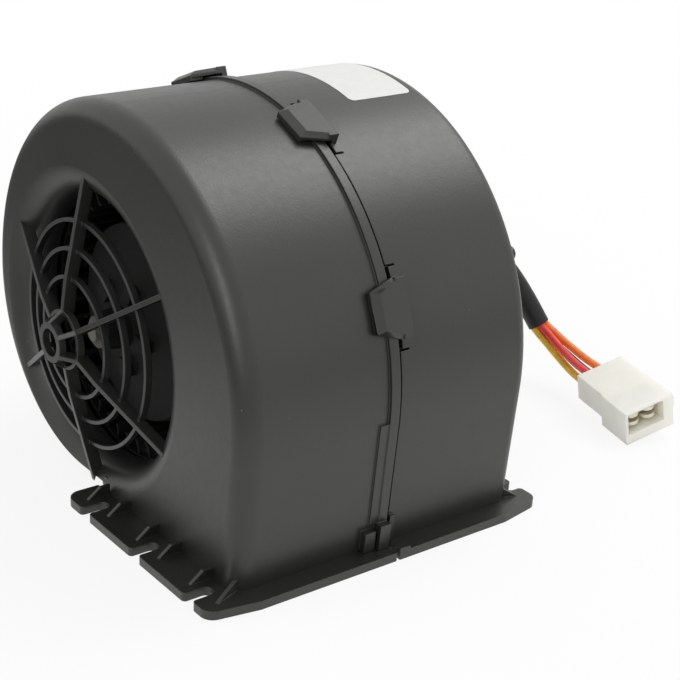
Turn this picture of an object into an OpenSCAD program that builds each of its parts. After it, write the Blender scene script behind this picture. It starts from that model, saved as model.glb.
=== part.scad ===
// Twin-inlet centrifugal blower with a brushed motor inside its wheel.
// X runs along the wheel axis, from the guarded inlet at -X to the motor side at +X.
// Z = 0 is the face of the outlet flange, and the wheel axis passes over Y = 0.

/* [Casing] */
// Wall thickness of the mouldings
wall = 2.2; // [1.8:0.1:2.6]
// Height of the wheel axis above the flange face
axis_h = 57.5; // [54:0.5:60]
// Height of the scroll's underside above the flange face
floor_h = 1.5; // [1.3:0.1:3]
// Reach of the scroll behind the axis
scroll_back = 68; // [64:1:74]
// Reach of the scroll above the axis
scroll_top = 82; // [78:1:88]
// Reach of the scroll in front of the axis
scroll_front = 95.5; // [92:0.5:104]
// Height of the rear arcs' centre above the axis
scroll_lift = 4.5; // [3:0.5:6]
// Lean of the outlet's front wall towards the rear, per length of the wall
front_slope = 0.07584; // [0:0.00001:0.1]
// Rounding between the guarded face and the scroll wall
edge_r = 7; // [4:0.5:9]
// Rounding between the motor-side face and the scroll wall
motor_edge_r = 5; // [3:0.5:9]
// Radius of the cut-off nose at the back of the outlet
tongue_r = 2.5; // [1.5:0.5:3]

/* [Seam] */
// Place of the joint between the halves along the axis
seam_x = 1; // [-4:0.5:6]
// Open line between the halves
seam_gap = 1.4; // [0.6:0.1:2]
// Width of the raised rim along the seam
rim_w = 3.5; // [3:0.5:7]
// Height of the raised rim
rim_h = 1.1; // [0.6:0.1:1.6]
// Width of the strip beside the rim on the outlet's front wall
strip_w = 3.4; // [2:0.2:5]
// Height of that strip
strip_h = 0.7; // [0.4:0.1:1]
// Length of that strip above the latch
strip_l = 37; // [20:1:40]
// Thickness of the inner spigot that centres the halves
spigot_t = 1.2; // [0.8:0.1:1.6]
// Reach of the spigot past the open line
spigot_l = 4; // [2:0.5:6]
// Clearance round the spigot and under the hooks
seam_fit = 0.15; // [0.1:0.05:0.3]

/* [Hooks] */
// Number of snap hooks round the scroll
hook_count = 5; // [3:1:5]
// Angle of the first hook above the front
hook_first = 22; // [18:1:26]
// Angle from hook to hook
hook_pitch = 45.6; // [40:0.2:48]
// Length of a hook along the seam
hook_w = 19.4; // [14:0.2:22]
// Length of a hook's nose along the seam
nose_w = 13.4; // [8:0.2:14]
// Thickness of a hook
hook_t = 2.4; // [1.6:0.1:3]
// Reach of a hook past the rim
hook_nose = 5.1; // [3:0.1:6]
// Width of the bevel on a hook's nose
nose_bevel = 2.8; // [1:0.1:4]
// Width of the bevel on a hook's slanted ends
end_bevel = 1.6; // [0.5:0.1:3]
// Length of a hook's root on its own half
hook_root = 2; // [1.5:0.1:4]
// Length of the springy flap that carries a hook
flap_w = 28; // [24:0.5:34]
// Set-back of the flap's edge from the seam
flap_set = 1; // [0.5:0.1:1.5]
// Length of the slits beside the flap
slit_l = 3.6; // [2:0.1:4]
// Width of the slits beside the flap
slit_w = 0.8; // [0.5:0.1:1.2]
// Length of the pocket behind a hook
pocket_l = 7; // [5:0.5:9]
// Width of the pocket behind a hook
pocket_w = 2.2; // [1.5:0.1:3]
// Height of the latch blocks beside the flange
latch_h = 9.5; // [6:0.5:12]

/* [Flange] */
// Thickness of the outlet flange
flange_t = 3; // [2.5:0.1:4]
// Reach of the flange past the guarded face
flange_side = 13; // [11:0.5:16]
// Reach of the flange past the motor-side face
motor_side = 9.5; // [8:0.5:16]
// Reach of the flange past the front wall
flange_lip = 8.4; // [6:0.2:10]
// Reach of the flange behind the cut-off
flange_tail = 2.5; // [1:0.5:4]
// Width of the cut corner along the front
corner_w = 18; // [10:1:24]
// Depth of the cut corner along the side
corner_d = 3.2; // [2:0.2:5]
// Rounding of the flange's front corners
corner_r = 4.5; // [2:0.5:5]
// Rounding of the flange's rear corners
rear_r = 5; // [2:0.5:6]
// Width of an open-ended screw slot
slot_w = 4.8; // [4:0.1:5.5]
// Rounding at the mouth of a slot
mouth_r = 1.4; // [0.5:0.1:2]
// Distance from the inlet face to the closed end of a slot
slot_land = 4; // [3:0.5:5]
// Distance from slot to slot
slot_pitch = 32.5; // [30:0.1:35]
// Distance of the rearmost slot behind the wheel axis, negative in front
slot_rear = -20.8; // [-24:0.2:-18]
// Thickness of a gusset
gusset_t = 1.2; // [0.8:0.1:2]
// Height of a gusset above the flange
gusset_h = 3.7; // [3:0.1:6]
// Length of a gusset's sloping end
gusset_run = 4.9; // [3:0.1:6]
// Distance of the gusset behind a slot from its middle
gusset_behind = 6.2; // [5:0.1:8]
// Distance of the gusset in front of a slot from its middle
gusset_ahead = 7.5; // [5:0.1:9]
// Turn of the gusset at a front corner, in degrees
corner_turn = 20; // [0:5:45]
// Bare edge of the flange past a gusset
gusset_land = 4.5; // [3:0.5:6]

/* [Inlets] */
// Radius of the inlet throat
throat_r = 47; // [45:0.5:48]
// Radius of the rounded inlet lip
lip_r = 12; // [9:0.5:13]
// Straight length of the throat behind the lip
throat_l = 2; // [1:0.5:2.5]

/* [Guard] */
// Radius at which a spoke's front edge meets the lip
spoke_tip_r = 55.6; // [54:0.2:57]
// Depth of the spokes' ends below the inlet face
spoke_tip_drop = 0.8; // [0.4:0.1:1.5]
// Number of spokes
spoke_count = 6; // [4:1:8]
// Angle of the first spoke above the rear
spoke_first = 27.6; // [0:0.2:60]
// Thickness of a spoke
spoke_t = 1.7; // [1.2:0.1:2.5]
// Depth of a spoke along the axis
spoke_depth = 4.5; // [3:0.5:6]
// Height of the dome's shoulder over the inlet face
dome_h = 7.4; // [4:0.2:10]
// Radius of the dome's shoulder and of the inner ring
dome_r = 20.8; // [16:0.2:24]
// Radius of the middle ring
ring_mid_r = 30.1; // [26:0.1:33]
// Radius of the outer ring
ring_out_r = 39.5; // [36:0.1:43]
// Radial thickness of a ring
ring_t = 1.3; // [1:0.1:2]
// Depth of a ring along the axis
ring_depth = 2.4; // [1.5:0.1:3]
// Set-back of the rings behind the spokes' front edges
ring_set = 2.2; // [1:0.1:3]
// Radius of the hub cage's rear ring
cage_r = 10.4; // [8:0.1:13]
// Radius of the hub cage's front ring
cap_r = 7; // [6:0.1:8]
// Width of the hub cage's front ring
cap_t = 2.1; // [1.5:0.1:3]
// Thickness of the hub cage's rear ring
cage_t = 1.3; // [1:0.1:2]
// Depth of the hub cage's rings along the axis
cage_band = 2.6; // [2:0.1:3]
// Rise of the spokes from the dome's shoulder to the hub cage
cage_rise = 1.6; // [1:0.1:2]
// Height of the hub cage over the dome's shoulder
cage_h = 6.6; // [4:0.1:9]

/* [Wheel] */
// Outside radius of the wheel
wheel_r = 49.5; // [48:0.5:50]
// Radial depth of the blades
blade_depth = 7.5; // [5:0.5:8]
// Width of the wheel
wheel_w = 84; // [78:1:90]
// Gap along the axis between the wheel and the throats
wheel_run = 2.1; // [1.5:0.1:3]
// Number of blades
blade_count = 40; // [30:1:48]
// Thickness of a blade
blade_t = 1; // [0.7:0.1:1.4]
// Radius of a blade's curve
blade_curve = 6.2; // [5:0.1:8]
// Thickness of the wheel's web and rings
web_t = 2; // [1.5:0.1:3]
// Radius of the wheel's hub
hub_r = 6.5; // [6:0.5:10]
// Number of ribs round the hub
rib_count = 5; // [3:1:8]
// Thickness of a rib
rib_t = 4.5; // [2:0.5:6]
// Outer radius of the ribs
rib_r = 17.5; // [14:0.5:20]

/* [Motor] */
// Radial room for air between the throat and the motor can
motor_air = 17; // [16:0.5:20]
// Thickness of the can's sheet steel
can_t = 1.5; // [1:0.1:2]
// Length of the can
can_l = 80; // [76:1:82]
// Radius of the shaft
shaft_r = 3; // [2.5:0.5:5]
// Running clearance between the shaft and its bushes
shaft_fit = 0.03; // [0.02:0.01:0.08]
// Outside radius of the bushes
bush_r = 7; // [6.5:0.5:8]
// Length of a bush
bush_l = 7; // [5:0.5:8]
// Air gap between the armature and the magnets
air_gap = 0.6; // [0.4:0.1:1]
// Thickness of the magnets
magnet_t = 3.6; // [3:0.1:4.5]
// Number of armature slots
armature_slots = 10; // [8:1:12]
// Length of the armature's core
core_l = 42; // [36:1:44]
// Radius of the commutator
commutator_r = 11; // [9:0.5:12]
// Height of the end cap over the motor-side face
cap_proud = 0.5; // [0:0.5:2]
// Gap along the axis between the wheel and what holds the motor
wheel_gap = 2.5; // [2:0.5:4]
// Thickness of the rubber damper ring
damper_t = 3; // [2:0.5:3.5]
// Thickness of the carrier's ring
carrier_t = 3; // [2:0.5:3.5]
// Thickness of a carrier arm
arm_t = 4; // [3:0.5:6]
// Radius of the screw holes in the end cap
screw_hole_r = 1.9; // [1.7:0.1:2.2]
// Radius of the screws that hold the end cap
screw_r = 1.5; // [1.3:0.1:1.6]

/* [Harness] */
// Diameter of the black sleeve
sleeve_d = 9; // [8:0.5:9.5]
// Diameter of a lead
wire_d = 3.1; // [2.6:0.1:3.2]

/* [Connector] */
// Width of the connector housing
conn_w = 22; // [20:0.5:24]
// Length of the connector housing
conn_l = 32.6; // [30:0.2:34]
// Height of the connector housing
conn_h = 14.4; // [13:0.2:16]
// Thickness of the thin walls round the connector's mouth
conn_wall = 1.1; // [0.9:0.1:1.6]
// Thickness of the wall with the latch
latch_wall = 4.4; // [3:0.2:5]
// Height of the sill under the mouth
sill_h = 4.2; // [3:0.2:5]
// Depth of the mouth
mouth_depth = 12; // [10:0.5:14]
// Height of the step under the rear half
step_h = 3.4; // [2:0.2:4]
// Set-in of the rear half's sides
shoulder = 0.5; // [0.2:0.1:1]
// Width of a tab
tab_w = 6.3; // [5:0.1:6.6]
// Thickness of a tab
tab_t = 1.6; // [0.8:0.1:2]
// Length of a tab in the mouth
tab_l = 10; // [8:0.5:11]

/* [Hidden] */
$fn = 64;
// Small overlap that joins features of one moulding
join = 0.5;
// Reach of cutters past the faces that they cut
over = 1;

// The lip crosses the face at a slight angle instead of running out to a feather edge
lip_crease = 0.1;
casing_w = wheel_w + 2 * (wheel_run + throat_l + lip_r - lip_crease);
face_x = -casing_w / 2;

// The scroll is three tangent arcs: under the wheel, up the back, and over the top to the front
scroll_low = axis_h - floor_h;
rear_z = axis_h + scroll_lift;
low_r = scroll_low + scroll_lift;
low_y = scroll_back - low_r;
back_r = scroll_top - scroll_lift;
back_y = scroll_back - back_r;
front_r = scroll_front + back_y;
front_z = axis_h + scroll_top - front_r;
front_lean = asin(front_slope);
// Angle by which the front arc is drawn past the top before it is cut off there
front_lap = 10;
motor_seam = seam_x + seam_gap;
// Height of a hook's edge under its bevels
hook_edge = 1;
pocket_d = 1.2;
// Blocks of the lower latch
latch_lift = 0.4;
latch_w = 4.3;
latch_t = 2.6;
latch_gap = 1;
latch_step = 2;
// Small nub on the motor-side face, near its front edge
nub_r = 2.4;
nub_h = 1.8;
nub_angle = 28;
lip_c = [throat_r + lip_r, face_x + lip_r - lip_crease];

// The wheel and motor along the axis
wheel_x = -wheel_w / 2;
blade_in = wheel_r - blade_depth;
cap_face = casing_w / 2 + cap_proud;
lid_t = 2.5;
lid_depth = 10;
lid_x = cap_face - lid_t;
can_r = throat_r - motor_air;
can_end = lid_x - lid_depth;
can_start = can_end - can_l;
boss_wall = 2;
boss_r = bush_r + boss_wall;
boss_l = 5;
nose_x = can_start - boss_l;
web_gap = 3;
web_front = nose_x - web_gap;
hub_set = 5;
hub_end = face_x + hub_set;
dome_rise = 6;
wheel_rim = 3;
rib_in = 11;
rib_h = 4;
rib_first = 114;
clip_w = 2.6;
clip_t = 1.2;
shaft_proud = 3;
shaft_room = 0.5;
can_bend = 2;
bush_end = 0.5;
head_r = 3.4;
head_h = 2.4;
screw_room = 2;
magnet_over = 5;
magnet_turn = 35;
magnet_angle = 110;
slot_mouth = 2;
shaft_wrap = 3;
magnet_r = can_r - can_t;
core_r = magnet_r - magnet_t - air_gap;
core_room = 16;
core_x = can_start + core_room;
turn_l = 8;
riser_gap = 2;
commutator_x = core_x + core_l + turn_l + riser_gap;
damper_r = can_r + damper_t;
carrier_r = damper_r + carrier_t;
lug_gap = 1;
screw_pcr = (carrier_r + throat_r) / 2;
lug_r = (throat_r - carrier_r) / 2 - lug_gap;
carrier_lap = 6;
carrier_x = can_end - carrier_lap;
arm_x = wheel_gap - wheel_x;

// Armature slots, brushes and the speed resistor on the carrier
slot_core_r = 3.2;
slot_depth = 6;
slot_place = core_r - slot_depth;
// Room between the coils and the core's iron
coil_gap = 0.3;
plate_t = 2;
brush_x = can_end - carrier_lap;
brush_gap = 0.2;
brush_in = commutator_r + brush_gap;
spring_r = 2.6;
spring_wall = 0.6;
brush_end = 2.8;
// A brush and its spring share the room between the commutator and the can
brush_share = 0.62;
brush_room = magnet_r - brush_in - brush_end;
brush_l = brush_room * brush_share;
spring_l = brush_room - brush_l;
brush_w = 8;
brush_t = 6;
holder_wall = 1;
holder_fit = 0.2;
holder_set = 3;
holder_in = brush_in + holder_set;
holder_end = 2.3;
holder_out = magnet_r - holder_end;
board_t = 1.6;
board_w = 28;
board_set = 4;
board_x = lid_x - board_set;
seat_h = 1;
seat_w = 20;
board_z = axis_h + carrier_r + seat_h;
board_h = throat_r - carrier_r - 4 * seat_h;
coil_r = 2.2;
coil_wall = 0.8;
coil_end = 2;
coil_seat = 0.2;
fuse_r = 1.6;
fuse_l = 10;

// The harness leaves the motor's end cap here and droops to the surface on the right
collar_w = 4;
collar_t = 2;
neck_w = 1.2;
neck_l = 9;
sleeve_fit = 0.1;
exit_y = 4;
exit_z = 76;
sleeve_route = [
    [cap_face, exit_y, exit_z], [72, 4, 76], [84, 4.5, 75.5], [96, 5, 73.5], [108, 4.5, 69],
    [119, 3, 62.5], [128, 1, 54], [135, -3, 45], [140, -8, 35.5], [144, -15, 24]
];
// Middle of the four leads, with their spread sideways and upright
lead_route = [
    [143, -13, 27, 1.7, 1.7], [144, -15, 24, 1.7, 1.7], [146, -21, 19.5, 2, 1.9], [146.5, -29, 16, 2.6, 2.1],
    [145.5, -38, 14, 3.2, 2.3], [144, -46, 13.5, 3.6, 2.4], [143, -52.5, 13, 3.7, 2.5]
];

// The housing leans on one lower corner, turned, pitched and rolled by its leads
conn_at = [130.8, -81, 0];
conn_turn = -9.3;
conn_pitch = 4.8;
conn_roll = -14.5;

module along_x(x) {
    translate([x, 0, axis_h])
        rotate([90, 0, 90])
            children();
}

// Extrudes a drawing of the Y-Z plane, taken from the wheel axis, between two places on X
module across(from, to) {
    along_x(from)
        linear_extrude(to - from)
            children();
}

// Turns a profile of radius and X about a line along X; 0 is down, 90 back, 180 up and 270 front
module turned(start = 0, angle = 360) {
    rotate([0, 90, 0])
        rotate_extrude(angle = angle, start = start)
            children();
}

module about_axis() {
    translate([0, 0, axis_h])
        turned()
            children();
}

module ring_section(r_in, r_out, from, to) {
    translate([r_in, from])
        square([r_out - r_in, to - from]);
}

module tube_x(r_in, r_out, from, to) {
    about_axis()
        ring_section(r_in, r_out, from, to);
}

// Places copies round the wheel axis, with +Z as 90 degrees
module round_axis(count, first = 0) {
    for (i = [0 : count - 1])
        translate([0, 0, axis_h])
            rotate([first + i * 360 / count, 0, 0])
                children();
}

// Carries a profile of radius and X along the scroll; $reach is the radius of each stretch
module along_scroll(base, with_floor = true) {
    fall = (front_z - base) / cos(front_lean) + over;
    translate([0, low_y, rear_z])
        turned(0, 90)
            let($reach = low_r) children();
    translate([0, back_y, rear_z])
        turned(90, 90)
            let($reach = back_r) children();
    intersection() {
        translate([0, back_y, front_z])
            rotate([front_lean, 0, 0]) {
                turned(180 - front_lap, 90 + front_lap)
                    let($reach = front_r) children();
                translate([0, 0, -fall])
                    linear_extrude(fall)
                        rotate(-90)
                            let($reach = front_r) children();
            }
        translate([-casing_w, back_y - 2 * front_r, base])
            cube([2 * casing_w, 2 * front_r, front_z + 2 * front_r]);
    }
    if (with_floor)
        translate([0, low_y, rear_z])
            rotate([90, 0, 0])
                linear_extrude(low_y - back_y)
                    rotate(-90)
                        let($reach = low_r) children();
}

// Half section of the casing with its outer corner rounded
module half_section(reach, face, seam, round_r) {
    translate([0, face])
        square([reach - round_r, seam - face]);
    translate([reach - round_r, face + round_r])
        square([round_r, seam - face - round_r]);
    translate([reach - round_r, face + round_r])
        intersection() {
            circle(round_r);
            translate([0, -round_r - over])
                square(round_r + over);
        }
}

module half_body(inset, seam, base, round_r) {
    along_scroll(base)
        half_section($reach - inset, face_x + inset, seam, round_r - inset);
}

// Air space of an inlet, out to well in front of the face
module inlet_air() {
    about_axis() {
        difference() {
            translate([0, 2 * face_x])
                square([lip_c.x, lip_c.y - 2 * face_x]);
            translate(lip_c)
                circle(lip_r);
        }
        translate([0, lip_c.y])
            square([throat_r, throat_l + over]);
    }
}

// Rounded inlet lip before the air space is cut out of it
module lip_blank() {
    about_axis() {
        translate(lip_c)
            intersection() {
                difference() {
                    circle(lip_r + over);
                    circle(lip_r - wall);
                }
                translate([-lip_r - 2 * over, -lip_r - 2 * over])
                    square(lip_r + 2 * over);
            }
        ring_section(throat_r - over, throat_r + wall, lip_c.y, lip_c.y + throat_l);
    }
}

// Shell of one half, drawn on the -X side, with its bell mouth and open outlet
module half_shell(seam, round_r) {
    difference() {
        half_body(0, seam, 0, round_r);
        difference() {
            half_body(wall, seam + over, -over, round_r);
            lip_blank();
        }
        inlet_air();
    }
    translate([face_x + wall - join, back_y, floor_h + tongue_r])
        rotate([0, 90, 0])
            cylinder(r = tongue_r, h = seam - spigot_l - seam_gap - face_x - wall);
}

// Outside of the outlet's front wall at a height above the flange face
function front_wall(z) = back_y - front_r / cos(front_lean) + (front_z - z) * tan(front_lean);

// Draws on the front wall just over the flange, with Z up the wall and -Y out of it
module on_front_wall() {
    translate([0, front_wall(flange_t), flange_t])
        rotate([front_lean, 0, 0])
            children();
}

// Latch block on the front wall
module latch_block(from, to, depth, height) {
    on_front_wall()
        translate([from, -depth, latch_lift])
            cube([to - from, depth + join, height - latch_lift]);
}

module inlet_casing() {
    rim_x = seam_x - rim_w;
    color("#454543") {
        half_shell(seam_x, edge_r);
        along_scroll(flange_t)
            translate([$reach - join, rim_x])
                square([join + rim_h, rim_w]);
        on_front_wall()
            translate([rim_x - strip_w, -strip_h, latch_h])
                cube([strip_w, strip_h + join, strip_l]);
        latch_block(
            seam_x - 2 * latch_w - latch_gap, seam_x - latch_w - latch_gap, latch_t, latch_h - latch_step
        );
        latch_block(seam_x - latch_w, seam_x, latch_t + rim_h, latch_h);
    }
}

// Places a drawing on the scroll at an angle above the front, with Z pointing out of the wall
module at_hook(angle) {
    centre = angle < 90 ? [0, back_y, front_z] : angle < 180 ? [0, back_y, rear_z] : [0, low_y, rear_z];
    translate(centre)
        rotate([90 - angle, 0, 0])
            let($reach = angle < 90 ? front_r : angle < 180 ? back_r : low_r) children();
}

// Cutter above a bevel that starts on a line along X and falls away towards +Y
module bevel(length, width, low, high) {
    slope = (high - low) / width;
    translate([-over, 0, 0])
        rotate([90, 0, 90])
            linear_extrude(length + 2 * over)
                polygon([
                    [over, low - over * slope], [over, high + over * slope],
                    [-width - over, high + over * slope]
                ]);
}

// Snap hook: a bevelled plate over the rim on a root of its own half, with a nose behind the rim
module hook() {
    under = $reach + rim_h + seam_fit;
    low = under + hook_edge;
    high = under + hook_t;
    tip = seam_x - rim_w - seam_fit - hook_nose;
    root = motor_seam + flap_set;
    end = root + hook_root;
    sag = pow(hook_w, 2) / $reach / 8 + join;
    flare = atan((hook_w - nose_w) / 2 / (seam_x - tip));
    difference() {
        union() {
            translate([0, 0, under])
                linear_extrude(hook_t)
                    polygon([
                        [tip, -nose_w / 2], [tip, nose_w / 2], [seam_x, hook_w / 2], [end, hook_w / 2],
                        [end, -hook_w / 2], [seam_x, -hook_w / 2]
                    ]);
            translate([tip, -nose_w / 2, $reach + seam_fit])
                cube([hook_nose, nose_w, rim_h + join]);
            translate([root, -hook_w / 2, $reach - sag])
                cube([hook_root, hook_w, under - $reach + sag + join]);
        }
        translate([tip, -nose_w / 2, 0])
            rotate([0, 0, 90])
                bevel(nose_w, nose_bevel, low, high);
        for (side = [0, 1])
            mirror([0, side, 0])
                translate([tip, nose_w / 2, 0])
                    rotate([0, 0, flare])
                        bevel(seam_x - tip, end_bevel, low, high);
    }
}

// Cutter for the springy flap that carries a hook: its set-back edge, two slits and a pocket
module flap_cut() {
    half = flap_w / $reach * 90 / PI;
    slit = slit_w / $reach * 180 / PI;
    turned(180 - half, 2 * half)
        ring_section($reach - wall, $reach + over, motor_seam - over, motor_seam + flap_set);
    for (start = [180 - half, 180 + half - slit])
        turned(start, slit)
            ring_section($reach - wall, $reach + over, motor_seam - over, motor_seam + slit_l);
    translate([motor_seam + flap_set + hook_root, -pocket_l / 2, $reach - pocket_d])
        cube([pocket_w, pocket_l, pocket_d + over]);
}

module motor_casing() {
    hooks = [for (i = [0 : hook_count - 1]) hook_first + i * hook_pitch];
    color("#454543") {
        difference() {
            union() {
                mirror([1, 0, 0])
                    half_shell(-motor_seam, motor_edge_r);
                along_scroll(0, false) {
                    inner = $reach - wall - seam_fit;
                    polygon([
                        [inner + seam_fit + join, motor_seam + spigot_l],
                        [inner + seam_fit + join, motor_seam], [inner, motor_seam],
                        [inner, seam_x - spigot_l], [inner - spigot_t, seam_x - spigot_l],
                        [inner - spigot_t, motor_seam + spigot_l]
                    ]);
                }
            }
            for (angle = hooks)
                at_hook(angle)
                    flap_cut();
        }
        for (angle = hooks)
            at_hook(angle)
                hook();
        at_hook(nub_angle)
            translate([casing_w / 2 - join, 0, front_r - motor_edge_r - nub_r / 2])
                rotate([0, 90, 0])
                    cylinder(r = nub_r, h = nub_h + join);
        latch_block(motor_seam, motor_seam + latch_w / 2, rim_h, latch_h + latch_gap);
    }
}

// Rounds an outline's corners by the radius that each point carries as its third number
function plan(p) = [p.x, p.y];
function corner(before, at, after, n) =
    at[2] == 0 ? [plan(at)] : let(
        u = unit(plan(before) - plan(at)),
        v = unit(plan(after) - plan(at)),
        half = acos(u * v) / 2,
        middle = plan(at) + unit(u + v) * at[2] / sin(half),
        first = plan(at) + u * at[2] / tan(half),
        last = plan(at) + v * at[2] / tan(half)
    ) [for (k = [0 : n]) middle + at[2] * unit((n - k) * (first - middle) + k * (last - middle))];
function rounded(p, n = 6) = [
    for (i = [0 : len(p) - 1])
        each corner(p[(i + len(p) - 1) % len(p)], p[i], p[(i + 1) % len(p)], n)
];

// Outline of one half of the flange on the -X side, with its open-ended slots
module flange_outline(seam, reach) {
    side = face_x - reach;
    front = front_wall(0) - flange_lip;
    tail = back_y + flange_tail;
    slot_end = face_x - slot_land;
    // Just under half the width, so that the two roundings don't meet in one point
    end_r = slot_w / 2.1;
    difference() {
        polygon(rounded([
            [seam, front, 0], [side + corner_w, front, 0], [side, front + corner_d, corner_r],
            for (i = [2 : -1 : 0]) each [
                [side, slot_rear - i * slot_pitch - slot_w / 2, mouth_r],
                [slot_end, slot_rear - i * slot_pitch - slot_w / 2, end_r],
                [slot_end, slot_rear - i * slot_pitch + slot_w / 2, end_r],
                [side, slot_rear - i * slot_pitch + slot_w / 2, mouth_r]
            ],
            [side, tail, rear_r], [seam, tail, 0]
        ]));
        translate([face_x, back_y])
            square([seam + over - face_x, flange_tail + over]);
    }
}

// Thin rib on the flange that runs from the wall, level at first and then sloping down
module gusset(length, height, run) {
    translate([0, gusset_t / 2, 0])
        rotate([90, 0, 0])
            linear_extrude(gusset_t)
                polygon([
                    [0, -join], [0, height], [run - length, height], [-length, 0], [-length, -join]
                ]);
}

module flange_half(seam, reach, round_r) {
    length = reach - gusset_land;
    difference() {
        union() {
            linear_extrude(flange_t)
                flange_outline(seam, reach);
            for (i = [0 : 2])
                translate([face_x, slot_rear - i * slot_pitch, flange_t]) {
                    translate([0, gusset_behind, 0])
                        gusset(length, gusset_h, gusset_run);
                    if (i < 2)
                        translate([0, -gusset_ahead, 0])
                            gusset(length, gusset_h, gusset_run);
                }
            translate([face_x + round_r, front_wall(flange_t) + gusset_h, flange_t])
                rotate([0, 0, corner_turn])
                    gusset(round_r + length, gusset_h + gusset_run / 2, round_r + length);
        }
        half_body(0, seam + over, -over, round_r);
    }
}

module inlet_flange() {
    color("#3d3d3c")
        flange_half(seam_x, flange_side, edge_r);
}

module motor_flange() {
    color("#3d3d3c") {
        mirror([1, 0, 0])
            flange_half(-motor_seam, motor_side, motor_edge_r);
        translate([motor_seam, front_wall(0) - flange_lip, flange_t - join])
            cube([latch_w, latch_t, rim_h + join]);
    }
}

// Front edge of the guard's spokes over the inlet face at a radius
function dome_at(r) = dome_h - (r - dome_r) * (dome_h + spoke_tip_drop) / (spoke_tip_r - dome_r);

module spoke() {
    tip = throat_r + lip_r;
    cap_in = cap_r - cap_t;
    cage_top = dome_h + cage_h;
    rear = dome_h + cage_rise;
    translate([0, 0, -spoke_t / 2])
        linear_extrude(spoke_t)
            polygon([
                [tip, dome_at(tip)], [dome_r, dome_h], [cage_r, rear], [cap_r, cage_top], [cap_in, cage_top],
                [cap_in, cage_top - cage_band], [cage_r - cage_t, rear - cage_band],
                [cage_r - cage_t, rear - spoke_depth], [dome_r, dome_h - spoke_depth],
                [tip, dome_at(tip) - spoke_depth]
            ]);
}

module guard_ring(r) {
    front = face_x - dome_at(r) + ring_set;
    tube_x(r - ring_t / 2, r + ring_t / 2, front, front + ring_depth);
}

module inlet_guard() {
    cage_top = face_x - dome_h - cage_h;
    cage_rear = face_x - dome_h - cage_rise;
    color("#4b4b49")
        intersection() {
            union() {
                round_axis(spoke_count, spoke_first)
                    translate([face_x, 0, 0])
                        rotate([0, 0, 90])
                            spoke();
                guard_ring(ring_out_r);
                guard_ring(ring_mid_r);
                guard_ring(dome_r);
                tube_x(cage_r - cage_t, cage_r, cage_rear, cage_rear + cage_band);
                tube_x(cap_r - cap_t, cap_r, cage_top, cage_top + cage_band);
            }
            inlet_air();
        }
}

// Forward-curved blade, hollow towards the way the wheel turns
module blade() {
    intersection() {
        difference() {
            circle(wheel_r - web_t / 4);
            circle(blade_in);
        }
        translate([wheel_r - blade_depth / 2, blade_curve])
            difference() {
                circle(blade_curve + blade_t / 2);
                circle(blade_curve - blade_t / 2);
            }
        translate([blade_in - over, -blade_t])
            square([blade_depth + 2 * over, blade_curve]);
    }
}

module impeller() {
    web_r = blade_in + join;
    dome = can_r + web_gap + web_t;
    dome_edge = web_front + dome_rise;
    color("#2c2c2b") {
        across(wheel_x, -wheel_x)
            for (i = [0 : blade_count - 1])
                rotate(i * 360 / blade_count)
                    blade();
        tube_x(wheel_r - web_t, wheel_r, wheel_x, wheel_x + wheel_rim);
        tube_x(wheel_r - web_t, wheel_r, -wheel_x - wheel_rim, -wheel_x);
        tube_x(blade_in, wheel_r, -web_t / 2, web_t / 2);
        about_axis()
            polygon([
                [web_r, -web_t / 2], [web_r, web_t / 2], [web_r - web_t, web_t / 2],
                [dome - web_t, dome_edge], [hub_r, web_front], [shaft_r, web_front], [shaft_r, hub_end],
                [hub_r, hub_end],
                [hub_r + web_t / 2, web_front - web_t], [dome, dome_edge - web_t]
            ]);
        round_axis(rib_count, rib_first)
            translate([web_front - rib_h, rib_in, -rib_t / 2])
                cube([rib_h + join, rib_r - rib_in, rib_t]);
    }
}

module wheel_clip() {
    color("#8d8d8a")
        tube_x(shaft_r, shaft_r + clip_w, hub_end - clip_t, hub_end);
}

module motor_shaft() {
    color("#b9bab8")
        tube_x(0, shaft_r - shaft_fit, hub_end - shaft_proud, lid_x - shaft_room);
}

module motor_can() {
    color("#8f9192")
        about_axis()
            polygon([
                [bush_r, nose_x], [boss_r, nose_x], [boss_r, can_start], [can_r - can_bend, can_start],
                [can_r, can_start + can_bend], [can_r, can_end], [can_r - can_t, can_end],
                [can_r - can_t, can_start + can_t], [boss_r, can_start + can_t], [bush_r, can_start + can_t]
            ]);
}

module motor_end_cap() {
    color("#323231")
        difference() {
            union() {
                about_axis()
                    polygon([
                        [0, lid_x], [bush_r, lid_x], [bush_r, lid_x - bush_l],
                        [boss_r, lid_x - bush_l], [boss_r, lid_x],
                        [can_r - can_t, lid_x], [can_r - can_t, can_end], [can_r, can_end],
                        [can_r, lid_x], [carrier_r, lid_x], [carrier_r, cap_face],
                        [0, cap_face]
                    ]);
                screw_places(lid_x, cap_face)
                    lug_outline();
            }
            screw_places(lid_x - over, cap_face + over)
                circle(screw_hole_r);
        }
}

// Three places round the motor for the screws that hold its end cap
module screw_places(from, to) {
    across(from, to)
        for (i = [0 : 2])
            rotate(30 + i * 120)
                translate([screw_pcr, 0])
                    children();
}

module lug_outline() {
    circle(lug_r);
    translate([carrier_r - screw_pcr - join, -lug_r])
        square([screw_pcr - carrier_r + join, 2 * lug_r]);
}

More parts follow.
